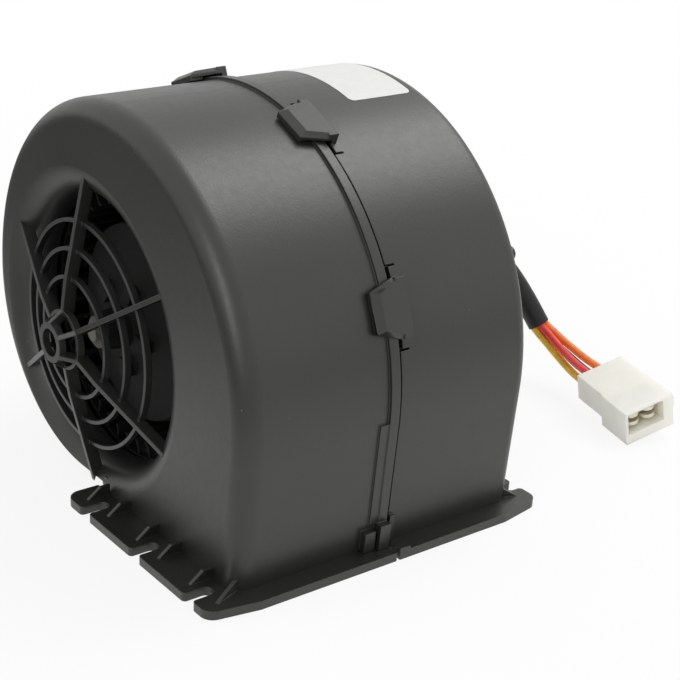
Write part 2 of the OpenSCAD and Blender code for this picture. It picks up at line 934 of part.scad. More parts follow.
module motor_carrier() {
    lug_end = lid_x;
    color("#454543") {
        difference() {
            union() {
                tube_x(damper_r + seam_fit, carrier_r, carrier_x, lug_end);
                screw_places(arm_x, lug_end)
                    lug_outline();
                translate([arm_x, -seat_w / 2, axis_h + damper_r + join])
                    cube([lug_end - arm_x, seat_w, board_z - axis_h - damper_r - join]);
            }
            screw_places(arm_x - over, lug_end + over)
                circle(screw_r + seam_fit);
        }
        mirror([1, 0, 0])
            intersection() {
                round_axis(4, 45)
                    translate([-lug_end, carrier_r - join, -arm_t / 2])
                        cube([lug_end - arm_x, throat_r + lip_r - carrier_r + join, arm_t]);
                inlet_air();
            }
    }
}

module damper_ring() {
    color("#1d1d1d")
        tube_x(can_r + seam_fit, damper_r, carrier_x, lid_x);
}

module motor_screws() {
    color("#b4b5b6") {
        screw_places(arm_x + screw_room, cap_face)
            circle(screw_r);
        screw_places(cap_face, cap_face + head_h)
            circle(head_r);
    }
}

module bush(from) {
    color("#a5793f")
        tube_x(shaft_r, bush_r, from, from + bush_l - bush_end);
}

module front_bearing() {
    bush(nose_x);
}

module rear_bearing() {
    bush(lid_x - bush_l);
}

module magnets() {
    color("#4a4a4d")
        for (start = [magnet_turn, magnet_turn + 180])
            translate([0, 0, axis_h])
                turned(start, magnet_angle)
                    ring_section(
                        magnet_r - magnet_t, magnet_r, core_x - magnet_over, core_x + core_l + magnet_over
                    );
}

module armature_core() {
    color("#7d7f80")
        across(core_x, core_x + core_l)
            difference() {
                circle(core_r);
                circle(shaft_r);
                for (i = [0 : armature_slots - 1])
                    rotate(i * 360 / armature_slots) {
                        translate([slot_place, 0])
                            circle(slot_core_r);
                        translate([slot_place, -slot_mouth / 2])
                            square([core_r, slot_mouth]);
                    }
            }
}

module armature_windings() {
    color("#a4552b") {
        across(core_x - turn_l / 2, core_x + core_l + turn_l / 2)
            for (i = [0 : armature_slots - 1])
                rotate(i * 360 / armature_slots)
                    translate([slot_place, 0])
                        circle(slot_core_r - coil_gap);
        for (x = [core_x - turn_l - coil_gap, core_x + core_l + coil_gap])
            tube_x(shaft_r + shaft_wrap, slot_place + slot_core_r, x, x + turn_l);
    }
}

module commutator() {
    color("#b87a45")
        tube_x(shaft_r, commutator_r, commutator_x, lid_x - bush_l - bush_end);
}

module brush_plate() {
    rim = holder_wall + holder_fit;
    length = holder_out - holder_in;
    color("#5c4a36") {
        tube_x(commutator_r + plate_t, magnet_r, brush_x, brush_x + plate_t);
        for (side = [0, 1])
            mirror([0, side, 0])
                translate([brush_x + plate_t, holder_in, axis_h - brush_w / 2 - rim])
                    difference() {
                        cube([brush_t + 2 * rim, length, brush_w + 2 * rim]);
                        translate([holder_wall, -over, holder_wall])
                            cube([brush_t + 2 * holder_fit, length + 2 * over, brush_w + 2 * holder_fit]);
                    }
    }
}

module brushes() {
    color("#3a3a3c")
        for (side = [0, 1])
            mirror([0, side, 0])
                translate([brush_x + plate_t + holder_wall + holder_fit, brush_in, axis_h - brush_w / 2])
                    cube([brush_t, brush_l, brush_w]);
}

module brush_springs() {
    middle = brush_x + plate_t + holder_wall + holder_fit + brush_t / 2;
    color("#9a9b9c")
        for (side = [0, 1])
            mirror([0, side, 0])
                translate([middle, brush_in + brush_l, axis_h])
                    rotate([-90, 0, 0])
                        difference() {
                            cylinder(r = spring_r, h = spring_l);
                            translate([0, 0, -over])
                                cylinder(r = spring_r - spring_wall, h = spring_l + 2 * over);
                        }
}

module resistor_board() {
    color("#6b4a2c")
        translate([board_x, -board_w / 2, board_z])
            cube([board_t, board_w, board_h]);
}

module resistor_coils() {
    length = board_w / 2 - 1.5 * coil_end;
    color("#a9a9a6")
        for (y = [-board_w / 2 + coil_end, coil_end / 2])
            translate([board_x - coil_r - coil_seat, y, board_z + board_h / 2])
                rotate([-90, 0, 0])
                    difference() {
                        cylinder(r = coil_r, h = length);
                        translate([0, 0, -over])
                            cylinder(r = coil_r - coil_wall, h = length + 2 * over);
                    }
}

module thermal_fuse() {
    color("#c9b88f")
        translate([board_x + board_t + fuse_r + coil_seat, -fuse_l / 2, board_z + board_h / 2])
            rotate([-90, 0, 0])
                cylinder(r = fuse_r, h = fuse_l);
}

module cable_grommet() {
    bore = sleeve_d / 2 + sleeve_fit;
    color("#1d1d1d")
        translate([0, exit_y, exit_z])
            turned()
                polygon([
                    [bore, cap_face], [bore + collar_w, cap_face], [bore + collar_w, cap_face + collar_t],
                    [bore + 1.5 * neck_w, cap_face + 1.5 * collar_t], [bore + neck_w, cap_face + neck_l],
                    [bore, cap_face + neck_l]
                ]);
}

function unit(v) = v / norm(v);
function heading(p, i) = unit(p[min(i + 1, len(p) - 1)] - p[max(i - 1, 0)]);
function sideways(p, i) = unit(cross([0, 0, 1], heading(p, i)));
function upright(p, i) = cross(heading(p, i), sideways(p, i));
function round_section(p, i, r, n) = [
    for (k = [0 : n - 1])
        p[i] + r * (cos(360 * k / n) * sideways(p, i) + sin(360 * k / n) * upright(p, i))
];

// Round cord swept along the points of its route
module cord(p, d, n) {
    last = (len(p) - 1) * n;
    polyhedron(
        points = [for (i = [0 : len(p) - 1]) each round_section(p, i, d / 2, n)],
        faces = [
            [for (k = [0 : n - 1]) k],
            [for (k = [0 : n - 1]) last + n - 1 - k],
            for (i = [0 : len(p) - 2], k = [0 : n - 1])
                [i * n + k, (i + 1) * n + k, (i + 1) * n + (k + 1) % n, i * n + (k + 1) % n]
        ]
    );
}

// One of the four leads, to one side and above or below the middle of the bundle
module lead(side, level) {
    middle = [for (p = lead_route) [p[0], p[1], p[2]]];
    cord([
        for (i = [0 : len(middle) - 1])
            middle[i] + side * lead_route[i][3] * sideways(middle, i)
                + level * lead_route[i][4] * upright(middle, i)
    ], wire_d, 8);
}

module harness_sleeve() {
    color("#1b1b1b")
        cord(sleeve_route, sleeve_d, 12);
}

module wire_orange() {
    color("#e07a3c")
        lead(1, 1);
}

module wire_black() {
    color("#1c1a19")
        lead(1, -1);
}

module wire_red() {
    color("#d2453f")
        lead(-1, 1);
}

module wire_yellow() {
    color("#cfa23a")
        lead(-1, -1);
}

// Draws in the connector's own frame: Y = 0 is the open front, and Z = 0 the lower face
module on_connector() {
    translate(conn_at)
        rotate([0, 0, conn_turn])
            rotate([conn_pitch, 0, 0])
                rotate([0, conn_roll, 0])
                    children();
}

module connector_housing() {
    color("#e6e6df")
        on_connector() {
            difference() {
                cube([conn_w, conn_l, conn_h]);
                translate([-over, conn_l / 2, -over])
                    cube([conn_w + 2 * over, conn_l, step_h + over]);
                for (x = [-over, conn_w - shoulder])
                    translate([x, conn_l / 2, 0])
                        cube([over + shoulder, conn_l, conn_h + over]);
                translate([conn_wall, -over, sill_h])
                    cube([conn_w - conn_wall - latch_wall, mouth_depth + over, conn_h - conn_wall - sill_h]);
            }
            translate([conn_w - join, tab_t, conn_h / 2])
                linear_extrude(sill_h)
                    polygon([[0, 0], [join + tab_t, 0], [join + tab_t, tab_t], [join, tab_w], [0, tab_w]]);
        }
}

module tab_terminals() {
    mouth_w = conn_w - conn_wall - latch_wall;
    mouth_h = conn_h - conn_wall - sill_h;
    aside = (mouth_w - 2 * tab_w) / 3;
    above = (mouth_h - 2 * tab_t) / 3;
    straight = tab_l - tab_w / 2;
    color("#d9cfa8")
        on_connector()
            for (column = [0, 1], row = [0, 1])
                translate([
                    conn_wall + aside + column * (tab_w + aside), mouth_depth,
                    sill_h + above + row * (tab_t + above)
                ])
                    linear_extrude(tab_t) {
                        translate([0, -straight])
                            square([tab_w, straight]);
                        translate([tab_w / 2, -straight])
                            circle(tab_w / 2);
                    }
}

inlet_casing();
inlet_guard();
inlet_flange();
motor_casing();
motor_flange();
motor_carrier();
damper_ring();
impeller();
wheel_clip();
motor_shaft();
motor_can();
motor_end_cap();
motor_screws();
front_bearing();
rear_bearing();
magnets();
armature_core();
armature_windings();
commutator();
brush_plate();
brushes();
brush_springs();
resistor_board();
resistor_coils();
thermal_fuse();
cable_grommet();
harness_sleeve();
wire_orange();
wire_black();
wire_red();
wire_yellow();
connector_housing();
tab_terminals();
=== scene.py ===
import bpy
import bmesh
import math
from mathutils import Matrix, Vector


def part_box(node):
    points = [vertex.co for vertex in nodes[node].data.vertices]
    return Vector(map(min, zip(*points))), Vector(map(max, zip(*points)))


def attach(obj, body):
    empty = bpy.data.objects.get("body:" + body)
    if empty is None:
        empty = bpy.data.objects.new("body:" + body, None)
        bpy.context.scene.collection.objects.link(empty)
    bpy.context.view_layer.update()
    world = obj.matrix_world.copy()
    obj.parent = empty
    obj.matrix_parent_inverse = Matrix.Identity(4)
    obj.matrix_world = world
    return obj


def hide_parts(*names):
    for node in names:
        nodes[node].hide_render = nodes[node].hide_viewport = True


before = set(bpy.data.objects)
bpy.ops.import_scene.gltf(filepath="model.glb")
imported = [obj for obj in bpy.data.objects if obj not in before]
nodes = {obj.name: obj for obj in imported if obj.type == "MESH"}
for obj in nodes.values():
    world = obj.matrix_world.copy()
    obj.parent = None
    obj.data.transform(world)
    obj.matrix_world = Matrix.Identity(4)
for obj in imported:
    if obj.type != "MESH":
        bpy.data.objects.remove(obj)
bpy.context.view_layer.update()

# Camera
# The blower stands on its outlet flange and is seen from the guarded inlet's front corner,
# a little from above, with a long lens and a slight lean to the picture.
eye = Vector((-0.3018, -0.4459, 0.2717))
looked_at = Vector((0.05177, 0.0, 0.03149))
lean = math.radians(2.99)
camera_data = bpy.data.cameras.new("camera")
camera_data.lens = 84.98
camera_data.sensor_width = 36
camera = bpy.data.objects.new("camera", camera_data)
facing = (looked_at - eye).to_track_quat("-Z", "Y").to_matrix().to_4x4()
camera.matrix_world = Matrix.Translation(eye) @ facing @ Matrix.Rotation(lean, 4, "Z")
bpy.context.scene.collection.objects.link(camera)
bpy.context.scene.camera = camera

# Harness sleeve
# A soft black vinyl sleeve that keeps the four leads together. It is pushed over the grommet on
# the motor's end cap, droops by its own weight and is cut off square before the connector.
MM = 0.001
sleeve_d = 9 * MM
sleeve_black = (0.012, 0.012, 0.012)
sleeve_route = [
    (58.5, 4, 76), (72, 4, 76), (84, 4.5, 75.5), (96, 5, 73.5), (108, 4.5, 69),
    (119, 3, 62.5), (128, 1, 54), (135, -3, 45), (140, -8, 35.5), (144, -15, 24),
]
noise_low = 0.3
noise_high = 0.7


def shader(name, colour, roughness, metallic=0.0):
    """A material, its node tree, its shader and the place of a point on the object."""
    material = bpy.data.materials.new(name)
    material.use_nodes = True
    tree = material.node_tree
    surface = tree.nodes["Principled BSDF"]
    surface.inputs["Base Color"].default_value = (*colour, 1)
    surface.inputs["Roughness"].default_value = roughness
    surface.inputs["Metallic"].default_value = metallic
    place = tree.nodes.new("ShaderNodeTexCoord").outputs["Object"]
    return material, tree, surface, place


def speckle(tree, place, scale, detail=3.0, stretch=(1, 1, 1)):
    """Noise with about one grain every 1 / scale metres, finer along an axis stretched above 1."""
    mapping = tree.nodes.new("ShaderNodeMapping")
    mapping.inputs["Scale"].default_value = stretch
    tree.links.new(place, mapping.inputs["Vector"])
    noise = tree.nodes.new("ShaderNodeTexNoise")
    noise.inputs["Scale"].default_value = scale
    noise.inputs["Detail"].default_value = detail
    tree.links.new(mapping.outputs["Vector"], noise.inputs["Vector"])
    return noise.outputs["Fac"]


def spread(tree, value, first, last, low=0.0, high=1.0, curve="LINEAR"):
    """Turns a value that runs from first to last into one that runs from low to high."""
    node = tree.nodes.new("ShaderNodeMapRange")
    node.interpolation_type = curve
    node.inputs["From Min"].default_value = first
    node.inputs["From Max"].default_value = last
    node.inputs["To Min"].default_value = low
    node.inputs["To Max"].default_value = high
    tree.links.new(value, node.inputs["Value"])
    return node.outputs["Result"]


def vary_colour(tree, surface, amount, dark, light):
    """Lets a noise run the base colour between two shades."""
    ramp = tree.nodes.new("ShaderNodeValToRGB")
    ends = ramp.color_ramp.elements
    for end, position, shade in zip(ends, (noise_low, noise_high), (dark, light)):
        end.position = position
        end.color = (*shade, 1)
    tree.links.new(amount, ramp.inputs["Fac"])
    tree.links.new(ramp.outputs["Color"], surface.inputs["Base Color"])


def vary_roughness(tree, surface, amount, low, high):
    """Lets a noise run the roughness between two values."""
    varied = spread(tree, amount, noise_low, noise_high, low, high)
    tree.links.new(varied, surface.inputs["Roughness"])


def relief(tree, surface, height, depth):
    """Raises the surface by a noise, up to a depth in metres."""
    bump = tree.nodes.new("ShaderNodeBump")
    bump.inputs["Distance"].default_value = depth
    bump.inputs["Strength"].default_value = 1.0
    tree.links.new(height, bump.inputs["Height"])
    tree.links.new(bump.outputs["Normal"], surface.inputs["Normal"])
    return bump


def shades(colour, share):
    """A darker and a lighter shade of a colour."""
    return [c * (1 - share) for c in colour], [c * (1 + share) for c in colour]


def vinyl(name, colour, roughness):
    """Extruded vinyl: faintly uneven colour and gloss along its length, and a fine skin."""
    wave_scale, skin_scale, skin_depth = 220, 2600, 0.00001
    colour_share, gloss_share = 0.12, 0.06
    material, tree, surface, place = shader(name, colour, roughness)
    surface.inputs["Specular IOR Level"].default_value = 0.3
    waves = speckle(tree, place, wave_scale, detail=2)
    vary_colour(tree, surface, waves, *shades(colour, colour_share))
    vary_roughness(tree, surface, waves, roughness - gloss_share, roughness + gloss_share)
    relief(tree, surface, speckle(tree, place, skin_scale, detail=2), skin_depth)
    return material


def round_curve(name, diameter, facets, material):
    """A curve with a round section and closed ends, still without its runs."""
    data = bpy.data.curves.new(name, "CURVE")
    data.dimensions = "3D"
    data.bevel_depth = diameter / 2
    data.bevel_resolution = facets
    data.use_fill_caps = True
    data.materials.append(material)
    piece = bpy.data.objects.new(name, data)
    bpy.context.scene.collection.objects.link(piece)
    return piece


def cord_along(name, route, diameter, material):
    """A round cord as one smooth open curve through the points of its route, in millimetres."""
    cord = round_curve(name, diameter, facets=6, material=material)
    cord.data.resolution_u = 10
    spline = cord.data.splines.new("BEZIER")
    spline.bezier_points.add(len(route) - 1)
    for point, spot in zip(spline.bezier_points, route):
        point.co = Vector(spot) * MM
        point.handle_left_type = "AUTO"
        point.handle_right_type = "AUTO"
    return cord


def length_along(cord):
    """Length of a cord's own line."""
    data = cord.data.copy()
    data.bevel_depth = 0
    line = bpy.data.objects.new("line", data)
    mesh = line.to_mesh()
    total = 0
    for edge in mesh.edges:
        start, end = (mesh.vertices[v].co for v in edge.vertices)
        total += (start - end).length
    line.to_mesh_clear()
    bpy.data.objects.remove(line)
    bpy.data.curves.remove(data)
    return total


sleeve_vinyl = vinyl("sleeve_vinyl", sleeve_black, roughness=0.42)
sleeve = cord_along("sleeve", sleeve_route, sleeve_d, sleeve_vinyl)
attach(sleeve, "housing")
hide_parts("harness_sleeve")
length_along(sleeve)

# Leads
# Four stranded copper leads in coloured vinyl, orange over black and red over yellow. They leave
# the sleeve side by side, spread to the four ways of the connector and end in its back.
lead_d = 3.1 * MM
# Middle of the bundle, then how far a lead stands off it sideways and upright
lead_route = [
    (143, -13, 27, 1.7, 1.7), (144, -15, 24, 1.7, 1.7), (146, -21, 19.5, 2, 1.9),
    (146.5, -29, 16, 2.6, 2.1), (145.5, -38, 14, 3.2, 2.3), (144, -46, 13.5, 3.6, 2.4),
    (143, -52.5, 13, 3.7, 2.5),
]
# Colour, then the side and the level of the lead in the bundle
lead_colours = {
    "orange": ((0.93, 0.25, 0.055), 1, 1),
    "black": ((0.014, 0.012, 0.011), 1, -1),
    "red": ((0.84, 0.07, 0.062), -1, 1),
    "yellow": ((0.85, 0.55, 0.06), -1, -1),
}


def beside(route, side, level):
    """The route of one lead, set off sideways and upright from the middle of the bundle."""
    middle = [Vector(stop[:3]) for stop in route]
    points = []
    for i, (*_, aside, above) in enumerate(route):
        heading = (middle[min(i + 1, len(route) - 1)] - middle[max(i - 1, 0)]).normalized()
        sideways = Vector((0, 0, 1)).cross(heading).normalized()
        upright = heading.cross(sideways)
        points.append(middle[i] + side * aside * sideways + level * above * upright)
    return points


for word, (colour, side, level) in lead_colours.items():
    points = beside(lead_route, side, level)
    lead = cord_along("lead_" + word, points, lead_d, vinyl("lead_" + word, colour, roughness=0.34))
    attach(lead, "housing")
    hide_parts("wire_" + word)
    length_along(lead)

# Studio
# A plain white floor in a white room, lit by a large soft box high on the right and two weaker
# panels. The camera sees the room white, and the floor's mirror image dims away from the blower.
floor_size = 4.0
floor_white = (0.86, 0.86, 0.86)
mirror_middle = (0.25, -0.2, 0)
shadow_middle = (0.05, -0.02, 0)
room_white = (1, 1, 1, 1)
room_light = 0.74
over_casing = (0, -0.05, 0.12)


def combine(tree, operation, first, second):
    """Two values joined by a plain operation."""
    joined = tree.nodes.new("ShaderNodeMath")
    joined.operation = operation
    tree.links.new(first, joined.inputs[0])
    tree.links.new(second, joined.inputs[1])
    return joined.outputs[0]


def choose(tree, share, first, second):
    """A surface that goes over from the first to the second as the share grows from 0 to 1."""
    mix = tree.nodes.new("ShaderNodeMixShader")
    tree.links.new(share, mix.inputs["Fac"])
    tree.links.new(first.outputs[0], mix.inputs[1])
    tree.links.new(second.outputs[0], mix.inputs[2])
    return mix


def seen_directly(tree, paths):
    """1 for what the camera sees, also mirrored or through a clear piece, 0 for falling light."""
    seen = paths.outputs["Is Camera Ray"]
    for ray in ("Is Glossy Ray", "Is Transmission Ray"):
        seen = combine(tree, "MAXIMUM", seen, paths.outputs[ray])
    return seen


def fading(tree, place, middle, near, far, start, end):
    """A value that goes from near to far with the distance from a point, in metres."""
    distance = tree.nodes.new("ShaderNodeVectorMath")
    distance.operation = "DISTANCE"
    distance.inputs[1].default_value = middle
    tree.links.new(place, distance.inputs[0])
    return spread(tree, distance.outputs["Value"], start, end, near, far, "SMOOTHSTEP")


def panel(name, at, width, height, watts):
    """A rectangular light panel that faces the casing."""
    data = bpy.data.lights.new(name, "AREA")
    data.shape = "RECTANGLE"
    data.size = width
    data.size_y = height
    data.energy = watts
    light = bpy.data.objects.new(name, data)
    light.location = at
    facing = (Vector(over_casing) - Vector(at)).to_track_quat("-Z", "Y")
    light.rotation_euler = facing.to_euler()
    bpy.context.scene.collection.objects.link(light)


bpy.context.scene.view_settings.view_transform = "Standard"
bpy.ops.mesh.primitive_plane_add(size=floor_size, location=(0, 0, 0))
floor = bpy.context.object
floor.name = "floor"
floor_paint, tree, surface, place = shader("white_floor", floor_white, roughness=0.9)
surface.inputs["Specular IOR Level"].default_value = 0.1
paths = tree.nodes.new("ShaderNodeLightPath")
glow = tree.nodes.new("ShaderNodeEmission")
glow.inputs["Strength"].default_value = 1.0
mirrored = tree.nodes.new("ShaderNodeEmission")
dimming = fading(tree, place, mirror_middle, near=1.1, far=0.18, start=0.36, end=0.66)
tree.links.new(dimming, mirrored.inputs["Strength"])
shown = choose(tree, paths.outputs["Is Glossy Ray"], glow, mirrored)
unshaded = fading(tree, place, shadow_middle, near=0.86, far=1.0, start=0.22, end=0.7)
share = combine(tree, "MULTIPLY", seen_directly(tree, paths), unshaded)
floor_look = choose(tree, share, surface, shown)
tree.links.new(floor_look.outputs[0], tree.nodes["Material Output"].inputs["Surface"])
floor.data.materials.append(floor_paint)

world = bpy.data.worlds.new("studio")
bpy.context.scene.world = world
world.use_nodes = True
tree = world.node_tree
room = tree.nodes["Background"]
backdrop = tree.nodes.new("ShaderNodeBackground")
for background, strength in ((room, room_light), (backdrop, 1.0)):
    background.inputs["Color"].default_value = room_white
    background.inputs["Strength"].default_value = strength
paths = tree.nodes.new("ShaderNodeLightPath")
room_look = choose(tree, seen_directly(tree, paths), room, backdrop)
tree.links.new(room_look.outputs[0], tree.nodes["World Output"].inputs["Surface"])

panel("soft_box", (0.74, -0.03, 1.19), width=0.72, height=0.78, watts=7)
panel("front_box", (0.9, -1.15, 0.55), width=1.1, height=0.9, watts=0.6)
panel("left_box", (-1.1, -0.6, 0.62), width=0.45, height=0.7, watts=3.4)

# Casing halves
# Two scroll halves injection moulded in charcoal polypropylene, with a fine eroded grain outside.
# They meet at a raised rim under snap hooks; guard, flanges and carrier are moulded on.
casing_charcoal = (0.0135, 0.0136, 0.0128)
casing_pieces = (
    "inlet_casing", "motor_casing", "inlet_guard", "inlet_flange", "motor_flange", "motor_carrier",
)


def soften_edges(tree, bump, radius):
    """Rounds the edges for the light, under the relief of the surface."""
    rounding = tree.nodes.new("ShaderNodeBevel")
    rounding.samples = 6
    rounding.inputs["Radius"].default_value = radius
    tree.links.new(rounding.outputs["Normal"], bump.inputs["Normal"])
    return rounding.outputs["Normal"]


def blend_in(tree, surface, share, colour):
    """Lays a second colour over the base colour, by a share that changes over the surface."""
    lay = tree.nodes.new("ShaderNodeMix")
    lay.data_type = "RGBA"
    tree.links.new(share, lay.inputs["Factor"])
    tree.links.new(surface.inputs["Base Color"].links[0].from_socket, lay.inputs["A"])
    lay.inputs["B"].default_value = (*colour, 1)
    tree.links.new(lay.outputs["Result"], surface.inputs["Base Color"])


def dust(tree, surface, place, spacing, size, colour):
    """Scatters a few pale specks, one at most in each cell of the given spacing in metres."""
    core = 0.4
    cells = tree.nodes.new("ShaderNodeTexVoronoi")
    cells.inputs["Scale"].default_value = 1 / spacing
    tree.links.new(place, cells.inputs["Vector"])
    speck = spread(tree, cells.outputs["Distance"], size / spacing, core * size / spacing)
    chosen = tree.nodes.new("ShaderNodeSeparateColor")
    tree.links.new(cells.outputs["Color"], chosen.inputs["Color"])
    share = combine(tree, "MULTIPLY", speck, chosen.outputs["Red"])
    blend_in(tree, surface, share, colour)


def highlight_edges(tree, surface, place, rounded, edge_highlight):
    """Paints the edges a paler shade, in patches, as a painted highlight where the rounded normal
    leaves the flat one.
    """
    highlight_starts, highlight_full, patch_scale = 0.97, 0.75, 160
    flat = tree.nodes.new("ShaderNodeNewGeometry")
    turn = tree.nodes.new("ShaderNodeVectorMath")
    turn.operation = "DOT_PRODUCT"
    tree.links.new(rounded, turn.inputs[0])
    tree.links.new(flat.outputs["Normal"], turn.inputs[1])
    edge = spread(tree, turn.outputs["Value"], highlight_starts, highlight_full)
    patches = combine(tree, "MULTIPLY", edge, speckle(tree, place, patch_scale, detail=4))
    blend_in(tree, surface, patches, edge_highlight)


def moulded(name, colour, roughness, grain=3200, depth=0.000012):
    """Moulded plastic: eroded grain, faint flow marks, a painted highlight on the edges and a
    little dust.
    """
    flow_scale, flow_share = 28, 0.1
    gloss_scale, gloss_share = 420, 0.025
    edge_radius, highlight_gain, highlight_lift = 0.0005, 3, 0.01
    # Paler shade of the base colour, laid on the rounded edges as a painted highlight
    edge_highlight = [min(1, c * highlight_gain + highlight_lift) for c in colour]
    material, tree, surface, place = shader(name, colour, roughness)
    surface.inputs["IOR"].default_value = 1.58
    surface.inputs["Specular Tint"].default_value = (1, 1, 0.955, 1)
    flow = speckle(tree, place, flow_scale, detail=4)
    vary_colour(tree, surface, flow, *shades(colour, flow_share))
    gloss = speckle(tree, place, gloss_scale, detail=4)
    vary_roughness(tree, surface, gloss, roughness - gloss_share, roughness + gloss_share)
    bump = relief(tree, surface, speckle(tree, place, grain, detail=2), depth)
    # Painted highlight: the edges get the paler shade where the rounded normal turns away
    highlight_edges(tree, surface, place, soften_edges(tree, bump, edge_radius), edge_highlight)
    dust(tree, surface, place, spacing=0.009, size=0.0003, colour=(0.16, 0.16, 0.15))
    return material


def smooth_curves(mesh, crisp_from=25):
    """Shades a mesh smooth, and keeps edges crisp from an angle in degrees."""
    mesh.shade_smooth()
    mesh.set_sharp_from_angle(angle=math.radians(crisp_from))


def finish_node(name, material):
    """Gives a CAD piece its finish."""
    mesh = nodes[name].data
    mesh.materials.clear()
    mesh.materials.append(material)
    smooth_curves(mesh)


casing_plastic = moulded(
    "casing_plastic", casing_charcoal, roughness=0.39, grain=1200, depth=0.00004,
)
for name in casing_pieces:
    finish_node(name, casing_plastic)

# Label
# A plain white film label with rounded corners, stuck a little askew on top of the motor half,
# where it follows the scroll's two arcs.
label_w = 26.2
label_l = 50
label_t = 0.12
label_r = 2.2
label_left = 25.2
label_front = -23.6
label_askew = 0.03
label_white = (0.7, 0.71, 0.685)
label_shades = (0.685, 0.695, 0.67), (0.715, 0.725, 0.7)
# Radius and height of the centre of each arc, which meet at the top of the scroll
front_arc = (86.0, 53.5)
rear_arc = (77.5, 62.0)
arcs_y = -9.5
straight_l = label_l - 2 * label_r
straight_steps = 28


def on_scroll(x, along, lift):
    """A point by its distance along the scroll's wall from the top, and its height over it."""
    radius, centre_z = front_arc if along < 0 else rear_arc
    turn = along / radius
    reach = radius + lift
    return Vector((x, arcs_y + reach * math.sin(turn), centre_z + reach * math.cos(turn))) * MM


def join_rings(mesh, rings):
    """Closes a skin round a row of rings of points, with a face on both ends."""
    count = len(rings[0])
    for before, after in zip(rings, rings[1:]):
        for k in range(count):
            beyond = (k + 1) % count
            mesh.faces.new((before[k], before[beyond], after[beyond], after[k]))
    mesh.faces.new(rings[0])
    mesh.faces.new(rings[-1])


def mesh_piece(name, mesh, material, crisp_from):
    """Makes a piece of a finished mesh."""
    bmesh.ops.recalc_face_normals(mesh, faces=mesh.faces)
    data = bpy.data.meshes.new(name)
    mesh.to_mesh(data)
    mesh.free()
    data.materials.append(material)
    smooth_curves(data, crisp_from)
    piece = bpy.data.objects.new(name, data)
    bpy.context.scene.collection.objects.link(piece)
    return piece


film, tree, surface, place = shader("label_film", label_white, roughness=0.42)
vary_colour(tree, surface, speckle(tree, place, scale=300, detail=4), *label_shades)
vary_roughness(tree, surface, speckle(tree, place, scale=90), low=0.36, high=0.48)
relief(tree, surface, speckle(tree, place, scale=1400), depth=0.000008)

corner_rows = [label_r * (1 - math.cos(math.radians(a))) for a in range(0, 91, 15)]
middle_rows = [label_r + straight_l * i / straight_steps for i in range(1, straight_steps)]
label_mesh = bmesh.new()
rings = []
for v in corner_rows + middle_rows + [label_l - v for v in reversed(corner_rows)]:
    to_end = min(v, label_l - v, label_r)
    inset = label_r - math.sqrt(label_r ** 2 - (label_r - to_end) ** 2)
    left = label_left + label_askew * v + inset
    right = label_left + label_askew * v + label_w - inset
    corners = [(left, 0), (right, 0), (right, label_t), (left, label_t)]
    rings.append([label_mesh.verts.new(on_scroll(x, label_front + v, lift)) for x, lift in corners])
join_rings(label_mesh, rings)
label = mesh_piece("label", label_mesh, film, crisp_from=25)
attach(label, "housing")

# Wheel and shaft
# The wheel is one black moulding of curved blades, rings and a dished web. It is pushed on the
# ground steel shaft and held by a spring clip.
wheel_plastic = moulded("wheel_plastic", (0.006, 0.006, 0.006), roughness=0.6)
wheel_surface = wheel_plastic.node_tree.nodes["Principled BSDF"]
wheel_surface.inputs["Specular IOR Level"].default_value = 0.16
finish_node("impeller", wheel_plastic)


def bare_metal(name, colour, roughness, streaks=(1, 1, 1), scale=900):
    """Bare or plated metal with fine tool marks, drawn out along the direction of working."""
    colour_share, brighter, duller, mark_depth = 0.12, 0.08, 0.1, 0.000006
    material, tree, surface, place = shader(name, colour, roughness, metallic=1.0)
    marks = speckle(tree, place, scale, detail=4, stretch=streaks)
    vary_colour(tree, surface, marks, *shades(colour, colour_share))
    vary_roughness(tree, surface, marks, roughness - brighter, roughness + duller)
    relief(tree, surface, marks, mark_depth)
    return material


ground_steel = bare_metal("ground_steel", (0.36, 0.35, 0.325), roughness=0.42, streaks=(1, 6, 6))
spring_steel = bare_metal("spring_steel", (0.17, 0.163, 0.148), roughness=0.44)
finish_node("motor_shaft", ground_steel)
finish_node("wheel_clip", spring_steel)

# Motor
# A drawn and zinc-plated steel can with ferrite magnets, a wound armature on sintered bushes, and
# a plastic end cap with brushes. It sits in a rubber ring in the carrier; three screws hold it.
zinc_plate = bare_metal(
    "zinc_plate", (0.46, 0.47, 0.48), roughness=0.36, streaks=(1, 5, 5), scale=500,
)
zinc_screw = bare_metal("zinc_screw", (0.55, 0.56, 0.58), roughness=0.34)
bronze = bare_metal("sintered_bronze", (0.42, 0.26, 0.12), roughness=0.55, scale=4000)
laminations = bare_metal(
    "core_laminations", (0.3, 0.31, 0.31), roughness=0.45, streaks=(40, 1, 1), scale=60,
)
copper = bare_metal("enamelled_copper", (0.5, 0.19, 0.08), roughness=0.35, scale=1200)
end_cap_plastic = moulded("end_cap_plastic", (0.03, 0.03, 0.03), roughness=0.42)
rubber = moulded("black_rubber", (0.016, 0.016, 0.016), roughness=0.62, grain=1800, depth=0.00002)
ferrite = moulded("ferrite", (0.06, 0.06, 0.065), roughness=0.5, grain=2500)
laminate = moulded("brown_laminate", (0.17, 0.095, 0.045), roughness=0.5, grain=1500)
graphite = moulded("graphite", (0.045, 0.045, 0.05), roughness=0.55, grain=4000)
motor_finishes = {
    "motor_can": zinc_plate, "motor_end_cap": end_cap_plastic,
    "damper_ring": rubber, "cable_grommet": rubber,
    "front_bearing": bronze, "rear_bearing": bronze,
    "magnets": ferrite, "armature_core": laminations,
    "armature_windings": copper, "commutator": copper,
    "brush_plate": laminate, "brushes": graphite, "brush_springs": spring_steel,
}
for name, material in motor_finishes.items():
    finish_node(name, material)

